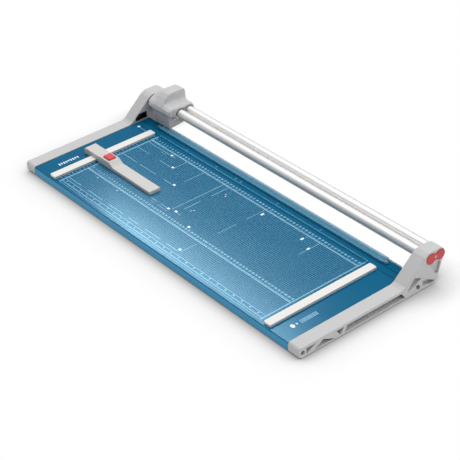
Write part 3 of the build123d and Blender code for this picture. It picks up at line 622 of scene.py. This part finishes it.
def print_ticks():
    ticks = Print(bottom=0.004, top=0.030)
    for y in (264.9, 85.5):
        ruler(ticks, y, step=1.0, unit=10, half=5, tick_lengths=(8.0, 6.0, 4.0),
              tick_widths=(0.55, 0.34), number_y=11.6, number_shift=0, height=4.3)
    # inches in eighths
    ruler(ticks, 13.7, step=25.4 / 8, unit=8, half=4, tick_lengths=(8.8, 5.4, 3.4),
          tick_widths=(0.42, 0.42), number_y=6.4, number_shift=2.4, height=3.2)
    depth_scale(ticks, PRINT_X0, outward=-1)
    depth_scale(ticks, PRINT_X1, outward=1)
    return ticks.build("table_print_ticks", "ink")


def print_lines():
    lines = Print(bottom=0.006, top=0.040)
    for y, width in LONG_LINES:
        lines.hline(PRINT_X0, PRINT_X1, y, width)
    for x in (PRINT_X0, PRINT_X1):
        lines.vline(x, 8.0, 287.1, width=0.9)
        lines.vline(x, 289.6, 294.0, width=0.9)
    for x, width, spans in DASHED_Y:
        for start, end in spans:
            lines.vline(x, start, end, width)
    for y, width, spans in DASHED_X:
        for start, end in spans:
            lines.hline(start, end, y, width)
    # short line at the left margin, and a stack of bars at the right
    lines.hline(-420, -388, 281.0, width=0.55)
    for k in range(11):
        lines.hline(399.5, 410.5, 62 + 4.0 * k, width=1.3)
    return lines.build("table_print_lines", "ink")


def print_marks():
    marks = Print(bottom=0.006, top=0.045)
    for patch in PATCHES:
        marks.patch(*patch)
    for x, y in DOTS:
        marks.patch(x, y, DOT_SIZE, DOT_SIZE)
    # diamond at the end of the short left line
    marks.ellipse(-419.5, 281.6, 4.4, 4.4, count=4)
    # stack of bars at the left, oval and triangle at the right
    for k in range(9):
        right = -401.4 - (1.6 if k % 3 == 1 else 0)
        marks.rect(-409.6, right, 46 + 6.2 * k, 49.4 + 6.2 * k)
    marks.ellipse(405.0, 40, 6.0, 4.4, count=20)
    marks.ellipse(405.0, 51.0, 3.4, 3.4, count=3)
    return marks.build("table_print_marks", "ink_white")


prints = [print_ticks(), print_lines(), print_marks()]


# ======================================================================
# coil springs
# ======================================================================
def coil(x, y, bottom, top, radius, wire, turns, segments=26, ring=8):
    """Closed wire helix about +z; wire is the wire's radius."""
    count = int(turns * segments)
    rise = top - bottom - 2 * wire
    verts, faces = [], []
    for i in range(count + 1):
        a = 2 * math.pi * i / segments
        centre = np.array([radius * math.cos(a), radius * math.sin(a),
                           bottom + wire + rise * i / count])
        tangent = np.array([-radius * math.sin(a), radius * math.cos(a),
                            rise / (2 * math.pi * turns)])
        tangent /= np.linalg.norm(tangent)
        outward = np.array([math.cos(a), math.sin(a), 0.0])
        across = np.cross(tangent, outward)
        for k in range(ring):
            b = 2 * math.pi * k / ring
            offset = wire * (math.cos(b) * outward + math.sin(b) * across)
            verts.append(centre + offset + np.array([x, y, 0.0]))
    for i in range(count):
        for k in range(ring):
            j = (k + 1) % ring
            faces.append([i * ring + k, i * ring + j, (i + 1) * ring + j, (i + 1) * ring + k])
    faces.append(list(reversed(range(ring))))
    faces.append([count * ring + k for k in range(ring)])
    return verts, faces


def press_springs(name, body, piece, press, keep, places, bottom, **sizes):
    """Coils at the places, standing on bottom; press is not used."""
    verts, faces = [], []
    for x, y in places:
        coil_verts, coil_faces = coil(x, y, bottom, **sizes)
        faces += [[len(verts) + i for i in face] for face in coil_faces]
        verts += coil_verts
    obj = new_mesh(name, verts, faces, "spring", body, smooth=True)
    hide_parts(piece)
    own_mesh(obj)


press_springs("clamp_spring_coils", "base", "clamp_springs", "clamp_press", keep=0.43,
              places=[(-379.5, 313.5), (379.5, 313.5)], bottom=23.55, top=26.95,
              radius=2.6, wire=0.35, turns=2.5)
press_springs("button_spring_coil", "backstop", "button_spring", "button_press", keep=0.88,
              places=[(-322.0, 133.5)], bottom=25.25, top=42.45,
              radius=3.0, wire=0.4, turns=5)


# ======================================================================
# surfaces from distance fields, for moulded shapes with soft blends
# ======================================================================
def soft_min(a, b, blend):
    h = np.clip(0.5 + 0.5 * (b - a) / blend, 0, 1)
    return b * (1 - h) + a * h - blend * h * (1 - h)


def soft_max(a, b, blend):
    return -soft_min(-a, -b, blend)


def polygon(px, py, outline):
    """Signed distance to a polygon."""
    points = np.asarray(outline, float)
    squared = np.full(px.shape, 1e9)
    inside = np.zeros(px.shape, bool)
    for a, b in zip(points, np.roll(points, -1, axis=0)):
        edge = b - a
        wx, wy = px - a[0], py - a[1]
        t = np.clip((wx * edge[0] + wy * edge[1]) / (edge @ edge), 0, 1)
        squared = np.minimum(squared, (wx - t * edge[0]) ** 2 + (wy - t * edge[1]) ** 2)
        if a[1] != b[1]:
            crosses = (a[1] <= py) != (b[1] <= py)
            inside ^= crosses & (px < a[0] + (py - a[1]) / (b[1] - a[1]) * edge[0])
    distance = np.sqrt(squared)
    return np.where(inside, -distance, distance)


def prism_x(section, x, x0, x1, radius):
    """Section distance extruded along x, with edges rounded by radius."""
    a = section + radius
    b = np.abs(x - (x0 + x1) / 2) - (x1 - x0) / 2 + radius
    outer = np.sqrt(np.maximum(a, 0) ** 2 + np.maximum(b, 0) ** 2)
    return np.minimum(np.maximum(a, b), 0) + outer - radius


def surface_nets(distance, low, high, size):
    """Quad mesh of the zero surface: one vertex in each grid cell that it crosses."""
    axes = [np.arange(start, stop + size, size) for start, stop in zip(low, high)]
    field = distance(*np.meshgrid(*axes, indexing="ij"))
    field = np.where(np.abs(field) < 1e-6, 1e-6, field)
    cells = tuple(n - 1 for n in field.shape)
    offsets = np.zeros(cells + (3,))
    crossings = np.zeros(cells)

    def at_corner(corner):
        return field[tuple(slice(c, c + n) for c, n in zip(corner, cells))]

    # each vertex is the mean of the crossings on its cell's edges
    for corner in itertools.product((0, 1), repeat=3):
        for axis in range(3):
            if corner[axis] == 1:
                continue
            far = corner[:axis] + (1,) + corner[axis + 1:]
            here, there = at_corner(corner), at_corner(far)
            crosses = (here < 0) != (there < 0)
            t = np.where(crosses, here / np.where(crosses, here - there, 1), 0)
            for q in range(3):
                offset = corner[q] + (t if q == axis else 0)
                offsets[..., q] += np.where(crosses, offset, 0)
            crossings += crosses
    active = crossings > 0
    index = -np.ones(cells, int)
    index[active] = np.arange(active.sum())
    means = offsets[active] / crossings[active][:, None]
    verts = (np.argwhere(active) + means) * size + np.array(low)

    # a quad around each grid edge that crosses the surface
    inside = field < 0
    faces = []
    for axis, (u, v) in enumerate([(1, 2), (2, 0), (0, 1)]):
        lower, upper = [slice(None)] * 3, [slice(None)] * 3
        lower[axis], upper[axis] = slice(0, -1), slice(1, None)
        starts, ends = inside[tuple(lower)], inside[tuple(upper)]
        edges = np.argwhere(starts != ends)
        edges = edges[(edges[:, u] > 0) & (edges[:, v] > 0)
                      & (edges[:, u] < cells[u]) & (edges[:, v] < cells[v])]
        quads = []
        for du, dv in ((-1, -1), (0, -1), (0, 0), (-1, 0)):
            cell = edges.copy()
            cell[:, u] += du
            cell[:, v] += dv
            quads.append(index[tuple(cell.T)])
        quads = np.stack(quads, 1)
        leaving = starts[tuple(edges.T)]
        quads[~leaving] = quads[~leaving][:, ::-1]
        faces.append(quads)

    # three Newton steps draw the vertices onto the surface
    probe = 0.05
    for _ in range(3):
        d = distance(*verts.T)
        slope = np.stack([distance(*(verts + step).T) - d for step in np.eye(3) * probe], 1) / probe
        step = -(d / np.maximum((slope ** 2).sum(1), 0.25))[:, None] * slope
        length = np.linalg.norm(step, axis=1, keepdims=True)
        verts = verts + step * np.minimum(1, 0.5 * size / np.maximum(length, 1e-9))
    return verts, np.concatenate(faces).tolist()


# ======================================================================
# head cover shell
# ======================================================================
FRONT_TUBE_Y, REAR_TUBE_Y = 347.3, 372.8
TUBE_Z = 65.0
COVER_LEFT_X = -433.0
COVER_WALL = 1.9
BORE_RADIUS = 12.9
# sections of the cover: y, z
NOSE = [(318.5, 62.0), (316.2, 69.0), (317.6, 77.0), (323.5, 81.4), (334, 83.2), (352, 83.8),
        (352, 60), (320, 60)]
HUMP = [(318.5, 66), (317.6, 79.0), (321.8, 86.2), (331.5, 96.6), (341.5, 104.0),
        (352, 106.4), (382, 106.4), (388.0, 102.5), (389.6, 94), (389.6, 66)]
REAR = [(352, 42), (355, 38.5), (386, 38.5), (389, 43), (389, 72), (384, 79.5), (374, 82.5),
        (352, 82)]


def round_tube(y, z, centre_y, radius):
    return np.sqrt((y - centre_y) ** 2 + (z - TUBE_Z) ** 2) - radius


def cover_outside(x, y, z):
    tubes = soft_min(round_tube(y, z, FRONT_TUBE_Y, radius=17.2),
                     round_tube(y, z, REAR_TUBE_Y, radius=16.6), blend=6.0)
    collar = prism_x(tubes, x, COVER_LEFT_X, -338.6, radius=3.2)
    rear = prism_x(polygon(y, z, REAR), x, COVER_LEFT_X, -341.0, radius=4.0)
    # left of this x the crown slopes down and back
    slope_x, ease = -398.5, 16.0
    fall = 0.5 * (slope_x - x + np.sqrt((slope_x - x) ** 2 + ease))
    nose = polygon(y - 0.20 * fall, z + 0.10 * fall, NOSE)
    nose = prism_x(nose, x, COVER_LEFT_X, -341.5, radius=5.0)
    hump = polygon(y - 0.22 * fall, z + 0.63 * fall, HUMP)
    hump = prism_x(hump, x, COVER_LEFT_X, -370.6, radius=2.4)
    body = soft_min(soft_min(collar, rear, blend=4.0), nose, blend=5.0)
    return soft_min(body, hump, blend=8.0)


def cover_shell(x, y, z):
    outside = cover_outside(x, y, z)
    shell = np.maximum(outside, -(outside + COVER_WALL))
    # open underneath, with the rim higher at the front
    above_rim = np.where(y < 346, z - 61.8, z - 39.5)
    shell = soft_max(shell, -above_rim, blend=0.6)
    # tube bores through the two end walls
    bores = np.minimum(round_tube(y, z, FRONT_TUBE_Y, BORE_RADIUS),
                       round_tube(y, z, REAR_TUBE_Y, BORE_RADIUS))
    middle_x, half_length = -386.0, 40.0
    bores = np.maximum(bores, -(np.abs(x - middle_x) - half_length))
    return soft_max(shell, -bores, blend=1.6)


cover_verts, cover_faces = surface_nets(cover_shell, low=(-436, 313, 35),
                                        high=(-336, 392.5, 108.5),
                                        size=0.75)
cover = new_mesh("head_cover_shell", cover_verts, cover_faces, "head", "cutter_head",
                 smooth=True)
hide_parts("head_cover")


# ======================================================================
# floor, world, lights, camera (metres)
# ======================================================================
def floor_pale():
    m = Material("floor_pale")
    m.set(color=m.mix(m.noise(scale=3.0, detail=3.0), (0.66, 0.66, 0.66, 1),
                      (0.68, 0.68, 0.68, 1)),
          rough=0.7, spec=0.0, glow_color=(1, 1, 1, 1), glow=0.22)
    m.bump(m.noise(scale=200.0, detail=2.0), distance=0.00005, strength=0.1)
    # no shadow on the strip of floor that shows between table and tubes
    x, y = m.position(0), m.position(1)
    behind = m.math("MULTIPLY", m.ramp(y, span=(0.132, 0.136)),
                    m.ramp(m.math("ABSOLUTE", x), span=(0.370, 0.470), to=(1.0, 0.0), smooth=True))
    # seen directly it is a white sweep with a soft contact shadow
    open_share = m.ramp(m.occlusion(reach=0.085, samples=16), span=(0.0, 0.97))
    shadow_power = 1.45
    shade = m.math("MAXIMUM", m.math("POWER", open_share, shadow_power), behind)
    color = m.mix(shade, (0.02, 0.018, 0.016, 1), (1.0, 1.0, 1.0, 1))
    seen = m.node("ShaderNodeEmission", {"Color": color}).outputs[0]
    m.finish_with(m.mix_shaders(m.camera_ray(), m.principled.outputs[0], seen))
    return m.material


def build_floor(half=9.0):
    material = floor_pale()
    mesh = bpy.data.meshes.new("floor")
    mesh.from_pydata([(-half, -half, 0), (half, -half, 0), (half, half, 0), (-half, half, 0)],
                     [], [[0, 1, 2, 3]])
    mesh.materials.append(material)
    obj = bpy.data.objects.new("floor", mesh)
    scene.collection.objects.link(obj)


# soft lobes of light: direction, cosine where it starts and where it is full, strength
LOBES = [
    ((0.05, 0.22, 0.974), (0.45, 0.95), 1.10),     # ceiling, leaning to the rear
    ((-0.35, 0.93, 0.10), (0.2, 0.95), 0.22),      # rear
    ((0.95, 0.1, 0.25), (0.1, 0.95), 0.35),        # right
    ((-0.80, -0.08, 0.60), (0.45, 0.95), 0.60),    # upper left
]
AMBIENT = 0.10


def build_world():
    """Lobes of light for the scene, plain white for the camera."""
    world = bpy.data.worlds.new("studio")
    scene.world = world
    world.use_nodes = True
    g = Graph(world.node_tree)
    direction = g.node("ShaderNodeTexCoord").outputs["Generated"]
    terms = []
    for towards, span, peak in LOBES:
        cosine = g.node("ShaderNodeVectorMath", {0: direction, 1: towards},
                        operation="DOT_PRODUCT").outputs["Value"]
        terms.append(g.ramp(cosine, span=span, to=(0.0, peak), smooth=True))
    ambient = g.node("ShaderNodeValue").outputs[0]
    ambient.default_value = AMBIENT
    strength = functools.reduce(lambda a, b: g.math("ADD", a, b), terms + [ambient])
    lit, seen = (g.node("ShaderNodeBackground", {"Color": (1, 1, 1, 1), "Strength": value})
                 .outputs[0] for value in (strength, 1.0))
    output = g.node("ShaderNodeOutputWorld")
    g.link(g.mix_shaders(g.camera_ray(), lit, seen), output.inputs[0])


def pose(x_axis, y_axis, z_axis, place):
    """Matrix with the given axes and place as columns."""
    columns = (x_axis, y_axis, z_axis, place)
    return Matrix([[column[i] for column in columns] for i in range(3)] + [[0, 0, 0, 1]])


def area(name, size_x, size_y, radiance, color=(1, 1, 1)):
    """Rectangular lamp of a given brightness (power = radiance x area x pi)."""
    lamp = bpy.data.lights.new(name, "AREA")
    lamp.shape = "RECTANGLE"
    lamp.size = size_x
    lamp.size_y = size_y
    lamp.energy = radiance * lamp.size * lamp.size_y * math.pi
    lamp.color = color
    obj = bpy.data.objects.new(name, lamp)
    scene.collection.objects.link(obj)
    obj.visible_camera = False
    return obj


# the camera stands at the front right, turned about z, raised and rolled
TURN, RAISE, ROLL = math.radians(52.62), math.radians(33.88), math.radians(-3.43)
CAMERA_TARGET = Vector((55.80, 170.23 + TABLE_FRONT_Y, 13.52)) * MM
CAMERA_DISTANCE = 3.15453
camera_back = Vector((math.sin(TURN) * math.cos(RAISE), -math.cos(TURN) * math.cos(RAISE),
                      math.sin(RAISE)))
camera_place = CAMERA_TARGET + camera_back * CAMERA_DISTANCE


def build_back_softbox():
    """Long softbox, mirrored by the table top towards the camera, for the table alone."""
    mirror_point = Vector((0.27, -0.294, TABLE_TOP * MM))
    distance = 1.35
    view = (camera_place - mirror_point).normalized()
    away = Vector((-view.x, -view.y, view.z))
    level = Vector((1, 0, 0)) - view * view.x
    long_axis = Vector((level.x, level.y, -level.z)).normalized()
    softbox = area("softbox_back", size_x=0.74, size_y=0.26, radiance=128.0,
                   color=(0.52, 0.84, 1.0))
    softbox.matrix_world = pose(long_axis, away.cross(long_axis), away,
                                mirror_point + away * distance)
    softbox.visible_diffuse = False
    table_only = bpy.data.collections.new("table_only")
    for obj in (NODES["table_board"], *prints):
        table_only.objects.link(obj)
    softbox.light_linking.receiver_collection = table_only


def build_top_softbox():
    """Wide overhead panel aimed at the origin."""
    place = Vector((0.2, 0.3, 2.3))
    softbox = area("softbox_top", size_x=2.0, size_y=2.0, radiance=0.70)
    softbox.location = place
    softbox.rotation_euler = (-place).to_track_quat("-Z", "Y").to_euler()


def build_camera():
    data = bpy.data.cameras.new("camera")
    camera = bpy.data.objects.new("camera", data)
    scene.collection.objects.link(camera)
    right = Vector((math.cos(TURN), math.sin(TURN), 0.0))
    up = camera_back.cross(right)
    camera.matrix_world = pose(math.cos(ROLL) * right + math.sin(ROLL) * up,
                               -math.sin(ROLL) * right + math.cos(ROLL) * up,
                               camera_back, camera_place)
    data.sensor_width = 36.0
    data.lens = 116.809826
    data.clip_start = 0.05
    data.clip_end = 50.0
    scene.camera = camera


build_floor()
build_world()
build_back_softbox()
build_top_softbox()
build_camera()
scene.view_settings.view_transform = "Standard"
scene.view_settings.look = "None"
scene.view_settings.exposure = 0.0
scene.view_settings.gamma = 1.0
